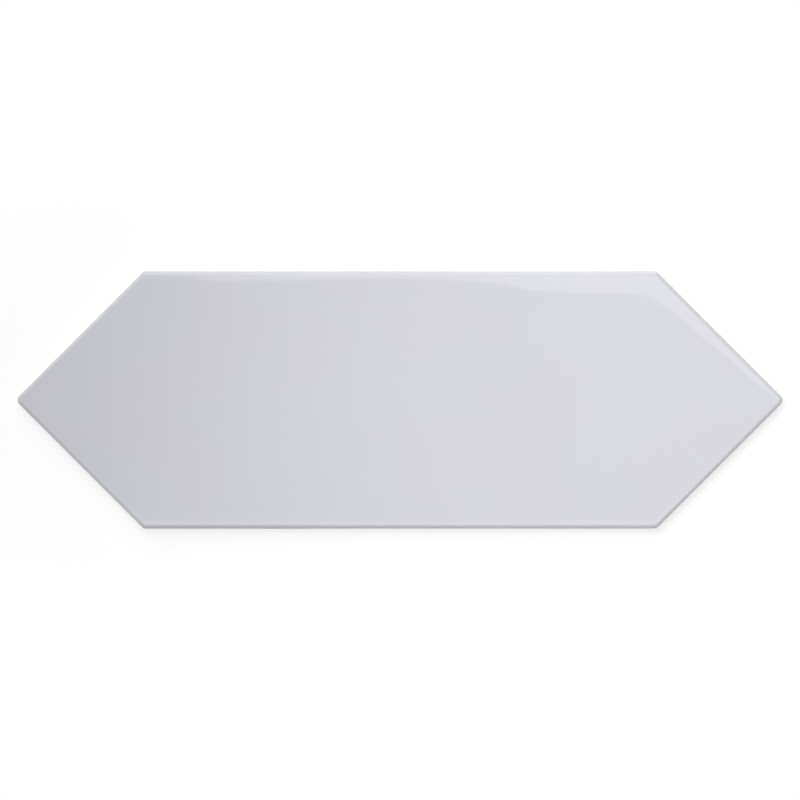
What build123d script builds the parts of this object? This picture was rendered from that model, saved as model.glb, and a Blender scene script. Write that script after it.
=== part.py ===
"""A long hexagonal wall tile of pressed clay, glazed on one side.

The tile lies face up. Its origin is in the middle of its back, on the surface that it rests on.
+X runs along the tile to one of its two points, +Y across it, and +Z up to the glazed face.
Millimetres throughout.
"""

from build123d import *
from math import ceil, radians, tan
import os

# Format of the tile
tile_length = 300.0  # between the two points, before they are rounded
tile_width = 100.0  # between the two long edges
tile_thickness = 8.0
point_angle = 90.0  # degrees, inside each of the two points

# Edges that the press and the glaze leave
corner_radius = 2.4  # of the six corners, seen from above
pillow_width = 6.0  # border of the face that falls away towards the edges
pillow_drop = 0.25
arris_radius = 1.5  # between the face and the sides
back_bevel_height = 2.0  # of the drafted flank next to the back
back_bevel_angle = 20.0  # degrees from upright

# Keying relief of the back: shallow pockets between ribs, inside a flat rim
rim_width = 6.5  # least width, from the edge of the back to a pocket
pocket_pitch = 14.0
rib_width = 2.6
pocket_depth = 0.7
pocket_draft = 25.0  # degrees, of the walls of a pocket
pocket_corner_cut = 1.2  # across the four corners of a pocket
smallest_pocket_share = 0.3  # of a whole pocket's area, for one that the rim cuts

half_length = tile_length / 2
half_width = tile_width / 2
point_reach = half_width / tan(radians(point_angle / 2))  # length of a point along X
shoulder_x = half_length - point_reach
back_bevel_depth = back_bevel_height * tan(radians(back_bevel_angle))
pocket_side = pocket_pitch - rib_width
smallest_pocket_area = smallest_pocket_share * pocket_side**2
upright_limit = 0.01  # a face is a side where its normal's share along Z is under this

# Outline of the tile, with sharp corners
with BuildSketch() as outline:
    with BuildLine():
        Polyline(
            (half_length, 0),
            (shoulder_x, half_width),
            (-shoulder_x, half_width),
            (-half_length, 0),
            (-shoulder_x, -half_width),
            (shoulder_x, -half_width),
            close=True,
        )
    make_face()

# Pockets on a square lattice, with two ribs crossing in the middle of the tile, cut off by the rim
columns = 2 * ceil(half_length / pocket_pitch)
rows = 2 * ceil(half_width / pocket_pitch)
with BuildSketch() as pocket_lattice:
    with GridLocations(pocket_pitch, pocket_pitch, columns, rows):
        Rectangle(pocket_side, pocket_side)
    chamfer(vertices(), length=pocket_corner_cut)
    with BuildSketch(mode=Mode.INTERSECT):
        add(outline.sketch)
        offset(amount=-(back_bevel_depth + rim_width), kind=Kind.INTERSECTION)
pockets = [face for face in pocket_lattice.sketch.faces() if face.area > smallest_pocket_area]

with BuildPart() as picket_tile:
    with BuildSketch():
        add(outline.sketch)
    extrude(amount=tile_thickness)

    # Border of the glazed face, which falls away like the edge of a thin pillow
    glazed_face = faces().sort_by(Axis.Z)[-1]
    chamfer(glazed_face.edges(), length=pillow_width, length2=pillow_drop, reference=glazed_face)

    # Corners, rounded as seen from above
    fillet(edges().filter_by(Axis.Z), radius=corner_radius)

    # Arris between the face and the sides, along the highest edge of each side
    sides = faces().filter_by(lambda face: abs(face.normal_at().Z) < upright_limit)
    arris = [side.edges().sort_by(Axis.Z)[-1] for side in sides]
    fillet(arris, radius=arris_radius)

    # Flank that draws in towards the back
    back_face = faces().sort_by(Axis.Z)[0]
    chamfer(back_face.edges(), length=back_bevel_depth, length2=back_bevel_height, reference=back_face)

    # Pockets, whose walls lean in towards the floor
    extrude(pockets, amount=pocket_depth, taper=pocket_draft, mode=Mode.SUBTRACT)

picket_tile.part.label = "picket_tile"

os.makedirs("parts", exist_ok=True)
export_step(picket_tile.part, "parts/picket_tile.step")
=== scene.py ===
"""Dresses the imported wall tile: glossy glaze over pressed red clay, lying on a white studio floor.

All lengths are in metres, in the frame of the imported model: +X along the tile to a point, +Y across
it, and +Z up out of the glazed face. Its back rests on the floor at Z = 0.
"""

import logging
from collections.abc import Sequence
from dataclasses import dataclass
from enum import Enum
from math import atan2, ceil, cos, exp, pi, radians, sin, sqrt, tan

import bmesh
import bpy
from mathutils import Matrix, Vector, noise
from mathutils.geometry import delaunay_2d_cdt

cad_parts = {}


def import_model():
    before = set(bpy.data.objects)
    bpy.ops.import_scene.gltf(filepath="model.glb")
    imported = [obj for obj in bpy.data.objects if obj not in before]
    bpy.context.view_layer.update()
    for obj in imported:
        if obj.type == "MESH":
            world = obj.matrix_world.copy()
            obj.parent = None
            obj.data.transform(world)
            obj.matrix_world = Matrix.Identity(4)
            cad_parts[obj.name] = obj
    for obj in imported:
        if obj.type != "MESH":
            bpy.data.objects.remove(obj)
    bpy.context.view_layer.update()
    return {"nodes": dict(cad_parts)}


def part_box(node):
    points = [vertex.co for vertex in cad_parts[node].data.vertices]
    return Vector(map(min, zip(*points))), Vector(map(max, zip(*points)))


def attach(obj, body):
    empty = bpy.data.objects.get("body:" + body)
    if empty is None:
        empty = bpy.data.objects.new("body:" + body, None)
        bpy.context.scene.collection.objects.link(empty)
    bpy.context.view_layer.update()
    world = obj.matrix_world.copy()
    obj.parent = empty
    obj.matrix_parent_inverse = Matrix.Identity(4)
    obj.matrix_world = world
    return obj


MM = 0.001
TILE_NODE = "picket_tile"
THIN_LAYER = "glaze_thin"  # marks the points of the glaze's mesh where it lies thin over the clay
TRIANGLES_INSIDE = 1  # asks the triangulation for the triangles inside the outline only

Colour = tuple[float, float, float]
Place = tuple[float, float]  # along and across the tile
Point = tuple[float, float, float]
Span = tuple[float, float]  # a pair of values between which something fades
Socket = bpy.types.NodeSocket
Value = Socket | float | Sequence[float]  # what an input of a shader node takes

WHITE: Colour = (1.0, 1.0, 1.0)


class Zone(Enum):
    """The stretches of the glaze's section, from the middle of the face round to its hidden side."""

    FACE = "face"
    ARRIS = "arris"
    FLANK = "flank"
    LIP = "lip"
    HIDDEN = "hidden"

    @property
    def is_thin(self) -> bool:
        """Tell whether the glaze lies thin over the clay there."""
        return self in (Zone.FLANK, Zone.LIP)


class Layer(Enum):
    """The unlike random fields of the glaze, each a slice at its own height through one noise."""

    SWELL = 3.7
    RIPPLE = 8.2
    SWING = 12.4
    WOBBLE = 15.1


class RayKind(Enum):
    """The light path outputs for rays that show the floor as plain white."""

    CAMERA = "Is Camera Ray"
    GLOSSY = "Is Glossy Ray"
    TRANSMISSION = "Is Transmission Ray"


def linear(colour: Colour) -> tuple[float, float, float, float]:
    """Turn a colour as seen on a screen into the linear one that shaders take, by the sRGB curve.

    Args:
        colour: Red, green and blue from 0 to 1, as displayed.

    Returns:
        The linear colour, with an alpha of 1.
    """
    red, green, blue = (c / 12.92 if c <= 0.04045 else ((c + 0.055) / 1.055) ** 2.4 for c in colour)
    return (red, green, blue, 1.0)


def between(start: float, end: float, share: float) -> float:
    """Give the value that lies a share of the way from start to end."""
    return start + (end - start) * share


def smooth_noise(x: float, y: float, size: float, layer: Layer) -> float:
    """Give a smooth random field on the plan of the tile, from about -1 to 1, that changes over size."""
    return noise.noise(Vector((x / size, y / size, layer.value)))


def is_inside(fence: Sequence[Place], place: Place) -> bool:
    """Tell whether a place lies inside a closed line, by the times that a ray from it crosses the line.

    Args:
        fence: The points of the line, in order.
        place: The place.

    Returns:
        True if it lies inside.
    """
    x, y = place
    inside = False
    for (x1, y1), (x2, y2) in zip(fence, [*fence[1:], fence[0]]):
        if (y1 > y) != (y2 > y) and x < x1 + (x2 - x1) * (y - y1) / (y2 - y1):
            inside = not inside
    return inside


def add_object(name: str, data: bpy.types.ID) -> bpy.types.Object:
    """Put a new object into the scene.

    Args:
        name: What it is called.
        data: Its mesh, lamp or camera.

    Returns:
        The object.
    """
    made = bpy.data.objects.new(name, data)
    bpy.context.scene.collection.objects.link(made)
    return made


@dataclass(frozen=True)
class RimPoint:
    """One point of a ring round the tile.

    Attributes:
        x: Place along the tile.
        y: Place across the tile.
        out: Unit direction out of the tile, in plan.
    """

    x: float
    y: float
    out: tuple[float, float]

    def pushed_out(self, outset: float, height: float) -> Point:
        """Give the point at a height that lies an outset further out of the tile."""
        return (self.x + self.out[0] * outset, self.y + self.out[1] * outset, height)


@dataclass(frozen=True)
class PlanEdge:
    """One straight edge of the tile's outline, between two sharp corners.

    Attributes:
        start: Corner where it starts, going counterclockwise.
        end: Corner where it ends.
        start_share: Share of the way round the tile at its start, from the +X point.
        end_share: The same at its end.
    """

    start: Vector
    end: Vector
    start_share: float
    end_share: float

    @property
    def length(self) -> float:
        """Give its length."""
        return (self.end - self.start).length

    @property
    def along(self) -> Vector:
        """Give the unit direction from its start to its end."""
        return (self.end - self.start).normalized()

    @property
    def out(self) -> Vector:
        """Give the unit direction out of the tile."""
        return Vector((self.along.y, -self.along.x))


@dataclass(frozen=True)
class TilePlan:
    """The outline of the tile: a long hexagon with two points.

    Attributes:
        half_length: From the middle to a point, before it is rounded.
        half_width: From the middle to a long edge.
        thickness: From the back to the top of the clay face.
        corner_radius: Of the six corners, seen from above.
        point_angle: Inside each point, in radians.
        spacing: Distance between neighbouring points along a straight edge.
        point_segments: Segments in the round of each of the two points.
        shoulder_segments: Segments in the round of each of the four shoulders.
    """

    half_length: float
    half_width: float
    thickness: float
    corner_radius: float = 2.4 * MM
    point_angle: float = radians(90)
    spacing: float = 1.5 * MM
    point_segments: int = 16
    shoulder_segments: int = 10

    @classmethod
    def from_box(cls, low: Vector, high: Vector) -> "TilePlan":
        """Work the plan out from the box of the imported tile, whose points are already rounded.

        Args:
            low: The box's lowest corner.
            high: Its highest corner.

        Returns:
            The plan, with its points as they were before they were rounded.
        """
        rounded_off = cls.corner_radius * (1 / sin(cls.point_angle / 2) - 1)
        return cls(high.x + rounded_off, high.y, high.z - low.z)

    def corners(self) -> list[Place]:
        """Give the six sharp corners.

        Returns:
            The corners, counterclockwise from the +X point.
        """
        shoulder = self.half_length - self.half_width / tan(self.point_angle / 2)
        return [
            (self.half_length, 0.0),
            (shoulder, self.half_width),
            (-shoulder, self.half_width),
            (-self.half_length, 0.0),
            (-shoulder, -self.half_width),
            (shoulder, -self.half_width),
        ]

    def edges(self) -> list[PlanEdge]:
        """Give the six straight edges.

        Returns:
            The edges, counterclockwise from the one that starts at the +X point.
        """
        starts = [Vector(corner) for corner in self.corners()]
        ends = starts[1:] + starts[:1]
        lengths = [(end - start).length for start, end in zip(starts, ends)]
        shares = [sum(lengths[:index]) / sum(lengths) for index in range(len(lengths) + 1)]
        return [PlanEdge(*parts) for parts in zip(starts, ends, shares, shares[1:])]

    def arc(self, index: int, inset: float, rounding: float) -> list[RimPoint]:
        """Lay the stretch of a ring that goes round one corner.

        Args:
            index: Number of the corner, counterclockwise from the +X point, which is 0.
            inset: Distance of the ring's straight stretches inside the outline.
            rounding: Radius of the ring's six corners.

        Returns:
            The points in order.
        """
        edges = self.edges()
        out, out_before = edges[index].out, edges[index - 1].out
        reach = (inset + rounding) / (1 + out.dot(out_before))
        centre = edges[index].start - (out + out_before) * reach
        # Corners 0 and 3 are the two points
        segments = self.shoulder_segments if index % 3 else self.point_segments
        first, last = atan2(out_before.y, out_before.x), atan2(out.y, out.x)
        if last < first:
            last += 2 * pi
        points = []
        for step in range(segments + 1):
            angle = first + (last - first) * step / segments
            towards = (cos(angle), sin(angle))
            place = centre + rounding * Vector(towards)
            points.append(RimPoint(place.x, place.y, towards))
        return points

    def ring(self, inset: float, rounding: float) -> list[RimPoint]:
        """Lay a ring of points round the tile.

        Args:
            inset: Distance of the ring's straight stretches inside the outline.
            rounding: Radius of the ring's six corners.

        Returns:
            The points in order. Every ring has as many, and like points lie side by side.
        """
        edges = self.edges()
        arcs = [self.arc(index, inset, rounding) for index in range(len(edges))]
        points: list[RimPoint] = []
        for edge, arc, next_arc in zip(edges, arcs, arcs[1:] + arcs[:1]):
            points += arc
            first, last = arc[-1], next_arc[0]
            count = ceil(edge.length / self.spacing)
            for step in range(1, count):
                x = between(first.x, last.x, step / count)
                y = between(first.y, last.y, step / count)
                points.append(RimPoint(x, y, (edge.out.x, edge.out.y)))
        return points


@dataclass(frozen=True)
class PillowEdge:
    """The border of the glazed face, where the glaze falls away towards the edges.

    Attributes:
        slope: Of the face next to the arris, as rise over run.
        sharing: How much the drops of two edges add up where they meet. Higher adds less.
        widths: Width of the border round the tile, as pairs of a share of the way round and a width.
    """

    slope: float = 0.05
    sharing: float = 4.0
    widths: tuple[tuple[float, float], ...] = (
        (0.00, 3.2 * MM),
        (0.03, 5.2 * MM),
        (0.07, 6.6 * MM),
        (0.104, 8.8 * MM),
        (0.145, 9.6 * MM),
        (0.172, 8.8 * MM),
        (0.198, 4.9 * MM),
        (0.22, 4.3 * MM),
        (0.25, 3.9 * MM),
        (0.29, 4.8 * MM),
        (0.32, 6.2 * MM),
        (0.35, 8.4 * MM),
        (0.373, 4.8 * MM),
        (0.397, 4.4 * MM),
        (0.45, 4.2 * MM),
        (0.50, 3.4 * MM),
        (0.56, 4.4 * MM),
        (0.64, 5.2 * MM),
        (0.76, 4.0 * MM),
        (0.87, 5.4 * MM),
        (0.95, 5.0 * MM),
        (1.00, 3.2 * MM),
    )

    def width(self, share: float) -> float:
        """Give the width of the border, eased between the pairs.

        Args:
            share: Share of the way round the tile, counterclockwise from its +X point.

        Returns:
            The width there.
        """
        share %= 1.0
        stretches = zip(self.widths, self.widths[1:])
        (low, low_width), (high, high_width) = next(pair for pair in stretches if share <= pair[1][0])
        t = (share - low) / (high - low)
        return low_width + (high_width - low_width) * t * t * (3 - 2 * t)

    def drop(self, plan: TilePlan, x: float, y: float) -> float:
        """Give how far the face lies below its flat middle.

        The section of each border is a parabola, level where it meets the middle of the face.

        Args:
            plan: The tile.
            x: Place along the tile.
            y: Place across the tile.

        Returns:
            The drop, which is 0 away from the edges.
        """
        place = Vector((x, y))
        total = 0.0
        for edge in plan.edges():
            inside = (edge.start - place).dot(edge.out)
            passed = min(1.0, max(0.0, (place - edge.start).dot(edge.along) / edge.length))
            width = self.width(between(edge.start_share, edge.end_share, passed))
            if inside < width:
                fall = 0.5 * self.slope * width * (1 - inside / width) ** 2
                total += fall ** self.sharing
        return total ** (1 / self.sharing)


@dataclass(frozen=True)
class GlazeFlow:
    """How the melted glaze settled on the face and where it stopped on the sides.

    Attributes:
        crown: Rise of the middle of the face over its ends.
        swell_size: Distance over which the long swells of the face change.
        swell_height: Height of the long swells.
        ripple_size: Distance over which the short ripples change.
        ripple_height: Height of the short ripples.
        cover: How far down the sides the glaze reaches, below the clay face.
        swing_size: Distance over which that reach changes slowly.
        swing_height: How much it changes so.
        wobble_size: Distance over which it changes fast.
        wobble_height: How much it changes so.
    """

    crown: float = 0.08 * MM
    swell_size: float = 46.0 * MM
    swell_height: float = 0.030 * MM
    ripple_size: float = 15.0 * MM
    ripple_height: float = 0.004 * MM
    cover: float = 2.8 * MM
    swing_size: float = 31.0 * MM
    swing_height: float = 0.8 * MM
    wobble_size: float = 6.5 * MM
    wobble_height: float = 0.35 * MM

    def rise(self, plan: TilePlan, x: float, y: float) -> float:
        """Give the height of the settled glaze over an even coat.

        Args:
            plan: The tile.
            x: Place along the tile.
            y: Place across the tile.

        Returns:
            The height, which is under 0 in a hollow.
        """
        crown = self.crown * (1 - (x / plan.half_length) ** 2)
        swell = self.swell_height * smooth_noise(x, y, self.swell_size, Layer.SWELL)
        ripple = self.ripple_height * smooth_noise(x, y, self.ripple_size, Layer.RIPPLE)
        return crown + swell + ripple

    def reach(self, point: RimPoint) -> float:
        """Give how far down a side the glaze reaches.

        Args:
            point: Point of the rim above that place.

        Returns:
            The distance below the clay face.
        """
        swing = self.swing_height * smooth_noise(point.x, point.y, self.swing_size, Layer.SWING)
        wobble = self.wobble_height * smooth_noise(point.x, point.y, self.wobble_size, Layer.WOBBLE)
        return self.cover + swing + wobble


@dataclass(frozen=True)
class Speckle:
    """A pattern of soft random patches.

    Attributes:
        size: Width of the patches.
        detail: How many times finer patches are laid over them.
        rough: How strong the finer ones are.
        low: Value of the bare noise below which the pattern is at its least.
        high: Value of the bare noise above which it is at its most.
        least: The pattern's lowest value.
        most: Its highest value.
    """

    size: float
    detail: float = 2.0
    rough: float = 0.5
    low: float = 0.0
    high: float = 1.0
    least: float = 0.0
    most: float = 1.0


class NodeSheet:
    """Lays out shader nodes on the node tree of a material or the world.

    Attributes:
        tree: The node tree.
        MIX_INPUTS: Numbers of a mix node's sockets for the share and the two colours.
        MIX_RESULT: Number of its socket for the mixed colour.
        NUMBER_RESULTS: Vector maths whose result is a number.
    """

    MIX_INPUTS = (0, 6, 7)
    MIX_RESULT = 2
    NUMBER_RESULTS = ("DOT_PRODUCT", "LENGTH")

    def __init__(self, tree: bpy.types.NodeTree) -> None:
        """Start from an empty tree."""
        self.tree = tree
        tree.nodes.clear()

    def node(
        self, kind: str, settings: dict[str, str] | None = None, *values: Value, **inputs: Value,
    ) -> bpy.types.Node:
        """Add a node.

        Args:
            kind: The node's type.
            settings: Values for the node's own properties.
            *values: What its first inputs take, in order.
            **inputs: What its other inputs take, by name, with _ for a space.

        Returns:
            The new node.
        """
        made = self.tree.nodes.new(kind)
        for name, setting in (settings or {}).items():
            setattr(made, name, setting)
        for socket, value in zip(made.inputs, values):
            self.feed(socket, value)
        for name, value in inputs.items():
            self.feed(made.inputs[name.replace("_", " ")], value)
        return made

    def feed(self, socket: Socket, value: Value) -> None:
        """Link an input to a socket, or set its value.

        Args:
            socket: The input.
            value: The socket to link it to, or its value.
        """
        if isinstance(value, Socket):
            self.tree.links.new(value, socket)
        else:
            socket.default_value = value

    def place(self) -> Socket:
        """Give the place on the surface that is shaded, in metres."""
        return self.node("ShaderNodeTexCoord").outputs["Object"]

    def math(self, operation: str, *values: Value) -> Socket:
        """Combine numbers with a maths node and give the result."""
        return self.node("ShaderNodeMath", {"operation": operation}, *values).outputs[0]

    def vector(self, operation: str, *values: Value) -> Socket:
        """Combine vectors with a vector maths node and give the result."""
        made = self.node("ShaderNodeVectorMath", {"operation": operation}, *values)
        return made.outputs["Value" if operation in self.NUMBER_RESULTS else "Vector"]

    def ramp(self, value: Value, low: Value, high: Value, start: float = 0.0, end: float = 1.0) -> Socket:
        """Ease from one value to another.

        Args:
            value: What the result follows.
            low: Its value where the result is start.
            high: Its value where the result is end. It may be under low.
            start: The result up to low.
            end: The result from high on.

        Returns:
            The result.
        """
        made = self.node(
            "ShaderNodeMapRange", {"interpolation_type": "SMOOTHSTEP"},
            Value=value, From_Min=low, From_Max=high, To_Min=start, To_Max=end,
        )
        return made.outputs["Result"]

    def mix(self, share: Value, first: Value, second: Value) -> Socket:
        """Blend two colours.

        Args:
            share: Share of the second.
            first: The first colour.
            second: The second colour.

        Returns:
            The blended colour.
        """
        made = self.node("ShaderNodeMix", {"data_type": "RGBA"})
        for number, value in zip(self.MIX_INPUTS, (share, first, second)):
            self.feed(made.inputs[number], value)
        return made.outputs[self.MIX_RESULT]

    def bare_noise(self, place: Socket, speckle: Speckle) -> Socket:
        """Lay a speckle's patches on the surface, without its levels.

        Args:
            place: The place that is shaded.
            speckle: The patches.

        Returns:
            The noise, from 0 to 1.
        """
        made = self.node(
            "ShaderNodeTexNoise",
            Vector=place, Scale=1 / speckle.size, Detail=speckle.detail, Roughness=speckle.rough,
        )
        return made.outputs[0]

    def pattern(self, place: Socket, speckle: Speckle) -> Socket:
        """Lay a speckle on the surface, with its levels."""
        patches = self.bare_noise(place, speckle)
        return self.ramp(patches, speckle.low, speckle.high, speckle.least, speckle.most)

    def bump(self, relief: Socket, height: float) -> Socket:
        """Give the normal of a surface that stands up by height where the relief is 1."""
        return self.node("ShaderNodeBump", Strength=1.0, Distance=height, Height=relief).outputs[0]


def new_material(name: str) -> tuple[bpy.types.Material, NodeSheet]:
    """Start a material.

    Args:
        name: What it is called.

    Returns:
        The material, and a sheet to lay its nodes on.
    """
    made = bpy.data.materials.new(name)
    made.use_nodes = True
    return made, NodeSheet(made.node_tree)


@dataclass(frozen=True)
class GlazeFinish:
    """Glossy off-white glaze, a little blue, with faint clouds and a hint of orange peel.

    Attributes:
        colour: Of the glaze where it lies thick.
        cloud_colour: Of the faint clouds in it.
        clouds: Where they are.
        thin_colour: Where it lies thin over the clay, low on the sides.
        thin_share: How much of the thin colour shows there.
        roughness: Of the fired surface.
        peel: The orange peel, of which only the bare noise is used.
        peel_height: How high the orange peel stands.
        refraction: Refractive index of the glaze, which sets how much it mirrors.
    """

    colour: Colour = (0.845, 0.850, 0.887)
    cloud_colour: Colour = (0.842, 0.845, 0.880)
    clouds: Speckle = Speckle(38 * MM, detail=3.0, rough=0.55, low=0.35, high=0.70)
    thin_colour: Colour = (0.80, 0.74, 0.71)
    thin_share: float = 0.35
    roughness: Speckle = Speckle(9 * MM, low=0.30, high=0.70, least=0.028, most=0.042)
    peel: Speckle = Speckle(2.4 * MM, rough=0.4)
    peel_height: float = 0.0009 * MM
    refraction: float = 1.54

    def material(self) -> bpy.types.Material:
        """Make the finish as a material.

        Returns:
            The material.
        """
        made, sheet = new_material("off_white_gloss_glaze")
        place = sheet.place()
        clouded = sheet.pattern(place, self.clouds)
        tint = sheet.mix(clouded, linear(self.colour), linear(self.cloud_colour))
        thin = sheet.node("ShaderNodeAttribute", {"attribute_name": THIN_LAYER}).outputs["Fac"]
        tint = sheet.mix(sheet.math("MULTIPLY", thin, self.thin_share), tint, linear(self.thin_colour))
        gloss = sheet.pattern(place, self.roughness)
        peel = sheet.bump(sheet.bare_noise(place, self.peel), self.peel_height)
        shader = sheet.node(
            "ShaderNodeBsdfPrincipled", Base_Color=tint, Roughness=gloss, IOR=self.refraction, Normal=peel,
        )
        sheet.node("ShaderNodeOutputMaterial", Surface=shader.outputs[0])
        return made


@dataclass(frozen=True)
class ClayFinish:
    """Matte fired red clay, fine grained, with kiln wash on the ribs of the back.

    Attributes:
        colour: Of the clay.
        deep_colour: Of its darker patches.
        patches: Where they are.
        pale_colour: Of the sand, of the kiln wash, and of the white slip that strayed down the sides.
        sand: Pale grains all over the clay.
        wash: Where the kiln wash took.
        wash_height: How far up from the floor the kiln wash lies.
        slip: Drops of the stray slip.
        slip_low: Height at which the stray slip ends.
        slip_high: Height at which it is thickest, just under the glaze.
        speck_colour: Of the small dark specks.
        speck_spacing: Distance from speck to speck, about.
        speck_edge: Distances from a speck's middle, in spacings, at which it ends and at which it is full.
        grain: The pressed grain, of which only the bare noise is used.
        dents: Wider unevenness under the grain, used in the same way.
        dent_share: Height of the dents, as a share of the grain's.
        grain_height: Height of the grain.
        roughness: Of the clay.
        refraction: Refractive index of the clay.
    """

    colour: Colour = (0.760, 0.555, 0.455)
    deep_colour: Colour = (0.690, 0.470, 0.370)
    patches: Speckle = Speckle(16 * MM, detail=4.0, rough=0.6, low=0.30, high=0.72)
    pale_colour: Colour = (0.865, 0.800, 0.745)
    sand: Speckle = Speckle(0.8 * MM, detail=3.0, rough=0.7, low=0.30, high=0.75, most=0.45)
    wash: Speckle = Speckle(5 * MM, detail=5.0, rough=0.7, low=0.38, high=0.60, least=0.1, most=0.8)
    wash_height: float = 0.12 * MM
    slip: Speckle = Speckle(1.6 * MM, detail=4.0, rough=0.65, low=0.45, high=0.62, most=0.85)
    slip_low: float = 3.4 * MM
    slip_high: float = 5.6 * MM
    speck_colour: Colour = (0.330, 0.200, 0.150)
    speck_spacing: float = 3.2 * MM
    speck_edge: Span = (0.11, 0.07)
    grain: Speckle = Speckle(0.45 * MM, detail=4.0, rough=0.7)
    dents: Speckle = Speckle(3 * MM, detail=3.0)
    dent_share: float = 0.6
    grain_height: float = 0.05 * MM
    roughness: float = 0.93
    refraction: float = 1.4

    def material(self) -> bpy.types.Material:
        """Make the finish as a material.

        Returns:
            The material.
        """
        made, sheet = new_material("fired_red_clay")
        place = sheet.place()
        height = sheet.node("ShaderNodeSeparateXYZ", None, place).outputs["Z"]
        pale = linear(self.pale_colour)

        tint = sheet.mix(sheet.pattern(place, self.patches), linear(self.colour), linear(self.deep_colour))
        tint = sheet.mix(sheet.pattern(place, self.sand), tint, pale)
        near_floor = sheet.ramp(height, self.wash_height, 0.0)
        tint = sheet.mix(sheet.math("MULTIPLY", near_floor, sheet.pattern(place, self.wash)), tint, pale)
        near_glaze = sheet.ramp(height, self.slip_low, self.slip_high)
        tint = sheet.mix(sheet.math("MULTIPLY", near_glaze, sheet.pattern(place, self.slip)), tint, pale)
        cells = sheet.node("ShaderNodeTexVoronoi", Vector=place, Scale=1 / self.speck_spacing)
        specks = sheet.ramp(cells.outputs["Distance"], *self.speck_edge)
        tint = sheet.mix(specks, tint, linear(self.speck_colour))

        dents = sheet.math("MULTIPLY", sheet.bare_noise(place, self.dents), self.dent_share)
        relief = sheet.math("ADD", sheet.bare_noise(place, self.grain), dents)
        shader = sheet.node(
            "ShaderNodeBsdfPrincipled",
            Base_Color=tint, Roughness=self.roughness, IOR=self.refraction,
            Normal=sheet.bump(relief, self.grain_height),
        )
        sheet.node("ShaderNodeOutputMaterial", Surface=shader.outputs[0])
        return made


@dataclass(frozen=True)
class FloorFinish:
    """White studio floor that shows as plain white and still takes a faint shadow near the tile.

    Attributes:
        colour: Of the painted floor.
        even_share: Share of the floor's look near the tile that is an even white, with no shadow in it.
        even_strength: Of that white, to make up for the rest of the look, which is dimmer.
        fade: Distances along X from the tile's middle between which the floor turns wholly even white.
        narrowing: How many times sooner it does so along Y, to follow the long shape of the tile.
    """

    colour: Colour = (0.96, 0.96, 0.96)
    even_share: float = 0.68
    even_strength: float = 1.13
    fade: Span = (0.15, 0.24)
    narrowing: float = 1.7

    def material(self) -> bpy.types.Material:
        """Make the finish as a material.

        Returns:
            The material.
        """
        made, sheet = new_material("white_studio_floor")
        rays = sheet.node("ShaderNodeLightPath")
        seen: Value = 0.0
        for kind in RayKind:
            seen = sheet.math("MAXIMUM", seen, rays.outputs[kind.value])
        shaped = sheet.vector("MULTIPLY", sheet.place(), (1.0, self.narrowing, 1.0))
        distance = sheet.vector("LENGTH", shaped)
        strength = sheet.ramp(distance, *self.fade, self.even_strength, 1.0)
        share = sheet.math("MULTIPLY", seen, sheet.ramp(distance, *self.fade, self.even_share, 1.0))
        paint = sheet.node("ShaderNodeBsdfDiffuse", Color=linear(self.colour))
        even = sheet.node("ShaderNodeEmission", Color=linear(WHITE), Strength=strength)
        both = sheet.node("ShaderNodeMixShader", None, share, paint.outputs[0], even.outputs[0])
        sheet.node("ShaderNodeOutputMaterial", Surface=both.outputs[0])
        return made


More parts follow.
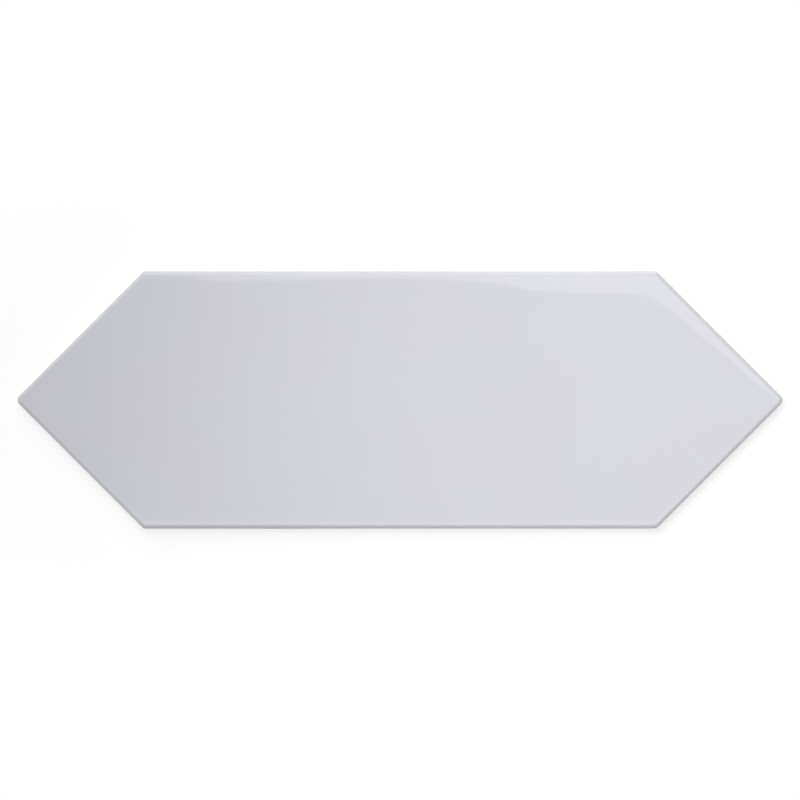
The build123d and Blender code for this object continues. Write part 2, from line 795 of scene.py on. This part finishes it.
@dataclass
class GlazeCoat:
    """The fired glaze: one closed skin over the face, the arris and the top of the sides.

    Attributes:
        plan: The tile that it covers.
        pillow: The border of the face.
        flow: How the glaze settled.
        finish: What it looks like.
        face_depth: Thickness of the glaze on the face.
        side_depth: Thickness of the glaze on the sides.
        bead_swell: How much thicker the bead at its lower edge is.
        bead_spread: Share of the way up the side over which the bead tapers off.
        lip_share: Radius of the bead's round lower edge, as a share of its thickness.
        arris_radius: Of the rounded edge.
        field_inset: Distance from the outline to the evenly meshed field of the face.
        field_spacing: Distance between neighbouring points of the field.
        field_gap: Distance from the border to the field's own points, at least, in spacings.
        rounding_growth: How fast the rings' corners get rounder towards the field.
        hidden_inset: Distance from the outline to the hidden inner wall.
        hidden_depth: Depth of the hidden underside below the clay face.
        border_rings: Number of rings from the field to the arris.
        border_crowding: How much closer those rings lie next to the arris. 1 spaces them evenly.
        arris_steps: Steps of the mesh over the rounded edge.
        flank_steps: Steps down the upright side.
        lip_steps: Steps round the lower edge of the bead.
        weld_distance: Distance under which the triangulation takes two points for one.
    """

    plan: TilePlan
    pillow: PillowEdge
    flow: GlazeFlow
    finish: GlazeFinish
    face_depth: float = 0.16 * MM
    side_depth: float = 0.12 * MM
    bead_swell: float = 0.13 * MM
    bead_spread: float = 0.3
    lip_share: float = 0.7
    arris_radius: float = 1.65 * MM
    field_inset: float = 15.0 * MM
    field_spacing: float = 1.7 * MM
    field_gap: float = 0.7
    rounding_growth: float = 1.15
    hidden_inset: float = 0.7 * MM
    hidden_depth: float = 0.6 * MM
    border_rings: int = 17
    border_crowding: float = 1.7
    arris_steps: int = 9
    flank_steps: int = 7
    lip_steps: int = 6
    weld_distance: float = 0.0001 * MM

    def face_height(self, x: float, y: float) -> float:
        """Give the height of the glazed face at a place on the tile."""
        even = self.plan.thickness + self.face_depth
        return even + self.flow.rise(self.plan, x, y) - self.pillow.drop(self.plan, x, y)

    def arris_inset(self) -> float:
        """Give the distance from the outline to where the arris meets the face."""
        return self.arris_radius * (1 - self.pillow.slope) - self.side_depth

    def face_ring(self, inset: float) -> list[RimPoint]:
        """Lay a ring on the face, in plan.

        Args:
            inset: Distance from the outline.

        Returns:
            The ring's points, whose corners are rounder the further in the ring lies.
        """
        start = self.arris_inset()
        rounding = self.plan.corner_radius - start + self.rounding_growth * (inset - start)
        return self.plan.ring(inset, rounding)

    def border(self) -> list[list[Point]]:
        """Lay the rings of the face's border.

        Returns:
            The rings, from the field out to the arris.
        """
        rings = []
        for index in reversed(range(self.border_rings)):
            share = (index / (self.border_rings - 1)) ** self.border_crowding
            ring = self.face_ring(between(self.arris_inset(), self.field_inset, share))
            rings.append([(p.x, p.y, self.face_height(p.x, p.y)) for p in ring])
        return rings

    def arris(self) -> list[list[Point]]:
        """Lay the rings of the rounded edge.

        Returns:
            The rings, from the face down to the upright side.
        """
        top = self.face_ring(self.arris_inset())
        start_angle = self.pillow.slope  # a slope this slight is as good as its angle
        rings = []
        for step in range(1, self.arris_steps + 1):
            angle = start_angle + (pi / 2 - start_angle) * step / self.arris_steps
            outset = self.arris_radius * (sin(angle) - sin(start_angle))
            fall = self.arris_radius * (cos(start_angle) - cos(angle))
            rings.append([p.pushed_out(outset, self.face_height(p.x, p.y) - fall) for p in top])
        return rings

    def sides(self, above: list[Point]) -> list[tuple[Zone, list[Point]]]:
        """Lay the rings from the arris down to the bead, under it and back up inside the clay.

        Args:
            above: The last ring of the arris.

        Returns:
            The rings with the zone of each.
        """
        base = self.plan.ring(0.0, self.plan.corner_radius)
        thickest = self.side_depth + self.bead_swell
        radius = thickest * self.lip_share
        ends = [self.plan.thickness - self.flow.reach(point) for point in base]
        rings: list[tuple[Zone, list[Point]]] = []

        def lay(zone: Zone, outset: float, heights: list[float]) -> None:
            """Add a ring, with each point at its own height."""
            rings.append((zone, [p.pushed_out(outset, height) for p, height in zip(base, heights)]))

        for step in range(1, self.flank_steps + 1):
            share = step / self.flank_steps
            outset = self.side_depth + self.bead_swell * exp(-(((1 - share) / self.bead_spread) ** 2))
            lay(Zone.FLANK, outset, [between(p[2], end + radius, share) for p, end in zip(above, ends)])
        for step in range(1, self.lip_steps + 1):
            angle = pi * step / self.lip_steps
            outset = thickest - radius * (1 - cos(angle))
            lay(Zone.LIP, outset, [end + radius * (1 - sin(angle)) for end in ends])
        lay(Zone.HIDDEN, -self.hidden_inset, [end + 2 * radius for end in ends])
        lay(Zone.HIDDEN, -self.hidden_inset, [self.plan.thickness - self.hidden_depth] * len(base))
        return rings

    def field(self, border: Sequence[Point]) -> tuple[list[Point], list[tuple[int, ...]]]:
        """Mesh the middle of the face with even triangles.

        Args:
            border: The innermost ring of the face, which the field joins.

        Returns:
            The new points, and the triangles by index, where the border's points come first.
        """
        fence = [(p.x, p.y) for p in self.face_ring(self.field_inset + self.field_gap * self.field_spacing)]
        # Rows of even triangles, with every other row shifted by half a spacing
        row_gap = self.field_spacing * sqrt(3) / 2
        rows = ceil(self.plan.half_width / row_gap)
        columns = ceil(self.plan.half_length / self.field_spacing)
        inner: list[Place] = []
        for row in range(-rows, rows + 1):
            shift = 0.5 * self.field_spacing * (row % 2)
            for column in range(-columns, columns + 1):
                place = (column * self.field_spacing + shift, row * row_gap)
                if is_inside(fence, place):
                    inner.append(place)

        flat = [Vector(point[:2]) for point in border] + [Vector(place) for place in inner]
        around = list(range(len(border)))
        outline = list(zip(around, around[1:] + around[:1]))
        _, _, triangles, origins, _, _ = delaunay_2d_cdt(
            flat, outline, [around], TRIANGLES_INSIDE, self.weld_distance,
        )
        named = [tuple(origins[corner][0] for corner in triangle) for triangle in triangles]
        return [(x, y, self.face_height(x, y)) for x, y in inner], named

    def skin(self) -> bmesh.types.BMesh:
        """Join the rings and the field into one closed surface.

        Returns:
            The surface, which is flat shaded on its hidden underside only.
        """
        border, arris = self.border(), self.arris()
        rings = [(Zone.FACE, ring) for ring in border] + [(Zone.ARRIS, ring) for ring in arris]
        rings += self.sides(arris[-1])
        inner, triangles = self.field(border[0])

        work = bmesh.new()
        thin = work.verts.layers.float.new(THIN_LAYER)
        laid = []
        for zone, ring in rings:
            row = [work.verts.new(point) for point in ring]
            for vertex in row:
                vertex[thin] = float(zone.is_thin)
            laid.append(row)
        field_corners = laid[0] + [work.verts.new(point) for point in inner]
        for triangle in triangles:
            work.faces.new([field_corners[index] for index in triangle])
        for upper, lower in zip(laid, laid[1:]):
            for index, corner in enumerate(upper):
                after = (index + 1) % len(upper)
                work.faces.new((corner, upper[after], lower[after], lower[index]))
        underside = work.faces.new(laid[-1])
        bmesh.ops.recalc_face_normals(work, faces=work.faces)
        for surface in work.faces:
            surface.smooth = True
        underside.smooth = False
        return work

    def build(self) -> bpy.types.Object:
        """Make the skin, in its finish, and put it on the tile.

        Returns:
            The glaze coat.
        """
        mesh = bpy.data.meshes.new("glaze_coat")
        skin = self.skin()
        skin.to_mesh(mesh)
        skin.free()
        coat = add_object("glaze_coat", mesh)
        self.dress(coat)
        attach(coat, "root")
        return coat

    def dress(self, coat: bpy.types.Object) -> None:
        """Give the coat its finish."""
        coat.data.materials.append(self.finish.material())


@dataclass
class ClayBody:
    """The pressed clay of the tile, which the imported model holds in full.

    Attributes:
        node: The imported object.
        finish: What the clay looks like.
    """

    node: bpy.types.Object
    finish: ClayFinish

    def dress(self) -> bpy.types.Object:
        """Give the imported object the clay's finish.

        Returns:
            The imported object.
        """
        self.node.data.materials.clear()
        self.node.data.materials.append(self.finish.material())
        return self.node


@dataclass(frozen=True)
class CeilingLight:
    """A soft patch of light on the ceiling of the room.

    Its edges are runs sideways for each unit of rise. Each edge is a pair: where the light ends, and
    where it reaches its full strength.

    Attributes:
        strength: Added to the light of the room.
        left: Edge towards -X.
        right: Edge towards +X.
        near: Edge towards -Y.
        far: Edge towards +Y.
        slant: Turn of the edge towards -Y, which comes nearer towards +X.
        corner: Edge that cuts off the corner towards +X and +Y, on the sum of both runs, if there is one.
    """

    strength: float
    left: Span
    right: Span
    near: Span
    far: Span
    slant: float = 0.0
    corner: Span | None = None

    def level(self, sheet: NodeSheet, across: Socket, along: Socket) -> Socket:
        """Give the light of the patch in the direction that a shader looks in.

        Args:
            sheet: The node tree to work on.
            across: Run along X for each unit of rise.
            along: Run along Y for each unit of rise.

        Returns:
            The light.
        """
        turned = sheet.math("MULTIPLY_ADD", across, self.slant, along)
        edges = [(across, self.left), (across, self.right), (turned, self.near), (along, self.far)]
        if self.corner:
            edges.append((sheet.math("ADD", across, along), self.corner))
        level: Value = self.strength
        for run, edge in edges:
            level = sheet.math("MULTIPLY", level, sheet.ramp(run, *edge))
        return level


@dataclass(frozen=True)
class WallLight:
    """A large soft light that leans against a wall of the room.

    Attributes:
        strength: Added to the light of the room.
        azimuth: Of its middle, in degrees from +X towards +Y.
        spread: Degrees to each side of its middle at which it ends, and at which it is full.
        low: Degrees above the floor at which it starts, and at which it is full.
        high: Degrees above the floor at which it ends, and at which it is still full.
    """

    strength: float
    azimuth: float
    spread: Span
    low: Span
    high: Span

    def level(self, sheet: NodeSheet, flat: Socket, height: Socket) -> Socket:
        """Give the light in the direction that a shader looks in.

        Args:
            sheet: The node tree to work on.
            flat: Level part of the direction, at unit length.
            height: Sine of the direction's angle above the floor.

        Returns:
            The light.
        """
        middle = (cos(radians(self.azimuth)), sin(radians(self.azimuth)), 0.0)
        facing = sheet.vector("DOT_PRODUCT", flat, middle)
        level = sheet.ramp(facing, *(cos(radians(angle)) for angle in self.spread))
        for edge in (self.low, self.high):
            share = sheet.ramp(height, *(sin(radians(angle)) for angle in edge))
            level = sheet.math("MULTIPLY", level, share)
        return sheet.math("MULTIPLY", level, self.strength)


@dataclass(frozen=True)
class StudioRoom:
    """The pale room round the tile, dim towards one side and lit from the ceiling.

    Attributes:
        dim_wall: Light of the dimmest wall.
        pale_wall: Light of the palest wall.
        pale_side: Direction of the palest wall.
        wall_turn: Cosine of the angle from the palest side within which the walls are at their palest.
            They are at their dimmest within the same angle of the side across from it.
        horizon: Rises, in sines, between which the white at the floor's edge fades into the walls.
        mirrored_rise: How much further up that white reaches where the glaze mirrors it.
        least_rise: Sine of the lowest direction that the ceiling is worked out for. Lower ones count
            as this low.
        overhead: Light straight above the tile.
        strip: Light beyond the tile's long +Y edge, which the sloping border of the glaze mirrors.
        low_strip: A weaker one beyond its long -Y edge.
        main_light: The large one, at the upper left of the picture.
        edge_light: A tall narrow one beyond the picture's top edge, mirrored in the arris there.
        low_light: A low one under the large one, which keeps the upper edges of the picture bright.
        fill_light: A weaker one across from it.
    """

    dim_wall: float = 0.04
    pale_wall: float = 0.28
    pale_side: Point = (-0.75, 0.66, 0.0)
    wall_turn: float = 0.8
    horizon: Span = (0.02, 0.20)
    mirrored_rise: float = 0.22
    least_rise: float = 0.05
    overhead: CeilingLight = CeilingLight(
        strength=0.71, left=(-0.45, -0.20), right=(0.45, 0.20), near=(-0.35, -0.12), far=(0.35, 0.15),
        corner=(0.36, 0.335),
    )
    strip: CeilingLight = CeilingLight(
        strength=1.25, left=(-0.28, -0.06), right=(0.42, 0.25), near=(0.080, 0.087), far=(0.6, 0.45),
        slant=0.30, corner=(0.36, 0.335),
    )
    low_strip: CeilingLight = CeilingLight(
        strength=0.8, left=(-0.30, -0.15), right=(0.35, 0.20), near=(-0.22, -0.15), far=(-0.075, -0.10),
    )
    main_light: WallLight = WallLight(
        strength=1.35, azimuth=114.0, spread=(34.0, 32.5), low=(23.8, 24.2), high=(62.0, 60.0),
    )
    edge_light: WallLight = WallLight(
        strength=0.85, azimuth=90.0, spread=(13.0, 12.0), low=(28.0, 30.0), high=(74.0, 70.0),
    )
    low_light: WallLight = WallLight(
        strength=1.4, azimuth=110.0, spread=(15.0, 14.0), low=(5.0, 6.0), high=(24.2, 23.8),
    )
    fill_light: WallLight = WallLight(
        strength=0.6, azimuth=318.0, spread=(13.0, 12.5), low=(9.5, 10.0), high=(31.0, 30.0),
    )

    def walls(self, sheet: NodeSheet, towards: Socket, height: Socket, mirrored: Socket) -> Socket:
        """Give the light of the walls and of the white at the floor's edge.

        Args:
            sheet: The node tree to work on.
            towards: Direction that a shader looks in.
            height: Sine of its angle above the floor.
            mirrored: 1 where the glaze mirrors the room, and else 0.

        Returns:
            The light.
        """
        facing = sheet.vector("DOT_PRODUCT", towards, self.pale_side)
        walls = sheet.ramp(facing, -self.wall_turn, self.wall_turn, self.dim_wall, self.pale_wall)
        white_low, white_high = self.horizon
        white_top = sheet.math("MULTIPLY_ADD", mirrored, self.mirrored_rise, white_high)
        white = sheet.ramp(height, white_top, white_low)
        return sheet.math("MULTIPLY_ADD", white, sheet.math("SUBTRACT", 1.0, walls), walls)

    def light(self) -> bpy.types.World:
        """Make the room the world of the scene.

        Returns:
            The world.
        """
        world = bpy.data.worlds.new("studio_room")
        bpy.context.scene.world = world
        world.use_nodes = True
        sheet = NodeSheet(world.node_tree)
        towards = sheet.node("ShaderNodeTexCoord").outputs["Generated"]
        parts = sheet.node("ShaderNodeSeparateXYZ", None, towards)
        height = parts.outputs["Z"]
        rays = sheet.node("ShaderNodeLightPath")
        level = self.walls(sheet, towards, height, rays.outputs[RayKind.GLOSSY.value])

        rise = sheet.math("MAXIMUM", height, self.least_rise)
        across = sheet.math("DIVIDE", parts.outputs["X"], rise)
        along = sheet.math("DIVIDE", parts.outputs["Y"], rise)
        for patch in (self.overhead, self.strip, self.low_strip):
            level = sheet.math("ADD", level, patch.level(sheet, across, along))
        flat = sheet.vector("NORMALIZE", sheet.vector("MULTIPLY", towards, (1.0, 1.0, 0.0)))
        for lamp in (self.main_light, self.edge_light, self.low_light, self.fill_light):
            level = sheet.math("ADD", level, lamp.level(sheet, flat, height))
        level = sheet.math("MAXIMUM", level, rays.outputs[RayKind.CAMERA.value])

        glow = sheet.node("ShaderNodeBackground", Color=linear(WHITE), Strength=level)
        sheet.node("ShaderNodeOutputWorld", Surface=glow.outputs[0])
        return world


@dataclass(frozen=True)
class Studio:
    """The floor, the panel light, the camera and the room round them.

    Attributes:
        floor: Finish of the floor.
        room: The room and its lights.
        tile_share: Share of the picture's width that the tile takes.
        lens: Focal length of the camera in millimetres.
        sensor: Width of the camera's sensor in millimetres.
        floor_size: Side of the square floor.
        panel_place: Middle of the light panel, above the tile.
        panel_aim: Spot on the floor that it faces, beyond the tile's +X end, so that the -X end is dimmer.
        panel_side: Of the square light panel.
        panel_power: Of the light panel, in watts.
        panel_colour: Of the light panel.
    """

    floor: FloorFinish
    room: StudioRoom
    tile_share: float = 0.948
    lens: float = 100.0
    sensor: float = 36.0
    floor_size: float = 8.0
    panel_place: Point = (-0.03, 0.09, 0.50)
    panel_aim: Point = (0.866, -0.324, 0.0)
    panel_side: float = 0.20
    panel_power: float = 2.10
    panel_colour: Colour = (1.0, 0.99, 0.975)

    def lay_floor(self) -> bpy.types.Object:
        """Lay the white floor.

        Returns:
            The floor.
        """
        half = self.floor_size / 2
        mesh = bpy.data.meshes.new("studio_floor")
        corners = [(-half, -half, 0.0), (half, -half, 0.0), (half, half, 0.0), (-half, half, 0.0)]
        mesh.from_pydata(corners, [], [(0, 1, 2, 3)])
        mesh.materials.append(self.floor.material())
        floor = add_object("studio_floor", mesh)
        return floor

    def hang_panel(self) -> bpy.types.Object:
        """Hang the light panel, which lights the tile without showing in the glaze or the picture.

        Returns:
            The panel.
        """
        lamp = bpy.data.lights.new("panel_light", "AREA")
        lamp.shape = "SQUARE"
        lamp.size = self.panel_side
        lamp.energy = self.panel_power
        lamp.color = linear(self.panel_colour)[:3]
        panel = add_object("panel_light", lamp)
        panel.location = self.panel_place
        panel.rotation_mode = "QUATERNION"
        towards = Vector(self.panel_aim) - Vector(self.panel_place)
        panel.rotation_quaternion = towards.to_track_quat("-Z", "Y")
        panel.visible_glossy = False
        panel.visible_camera = False
        return panel

    def place_camera(self, tile_length: float) -> bpy.types.Object:
        """Put the camera straight above the tile, with +X to the right of the picture.

        Args:
            tile_length: Length of the tile across the picture.

        Returns:
            The camera.
        """
        data = bpy.data.cameras.new("overhead_camera")
        data.lens = self.lens
        data.sensor_width = self.sensor
        camera = add_object("overhead_camera", data)
        view_width = tile_length / self.tile_share
        camera.location = (0.0, 0.0, view_width * self.lens / self.sensor)
        bpy.context.scene.camera = camera
        return camera

    def set_up(self, tile_length: float) -> list[bpy.types.ID]:
        """Set the studio up round the tile, and give what it is made of."""
        return [self.lay_floor(), self.hang_panel(), self.place_camera(tile_length), self.room.light()]


def main() -> None:
    """Build the scene: the tile's clay and glaze, then the studio round it."""
    logging.basicConfig(level=logging.INFO, format="%(message)s")
    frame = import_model()
    low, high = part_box(TILE_NODE)
    bpy.context.scene.view_settings.view_transform = "Standard"

    body = ClayBody(frame["nodes"][TILE_NODE], ClayFinish()).dress()
    logging.info("%s: clay, %d faces", body.name, len(body.data.polygons))
    coat = GlazeCoat(TilePlan.from_box(low, high), PillowEdge(), GlazeFlow(), GlazeFinish()).build()
    logging.info("%s: glaze, %d faces", coat.name, len(coat.data.polygons))
    for thing in Studio(FloorFinish(), StudioRoom()).set_up(2 * high.x):
        logging.info("%s: part of the studio", thing.name)


if __name__ == "__main__":
    main()
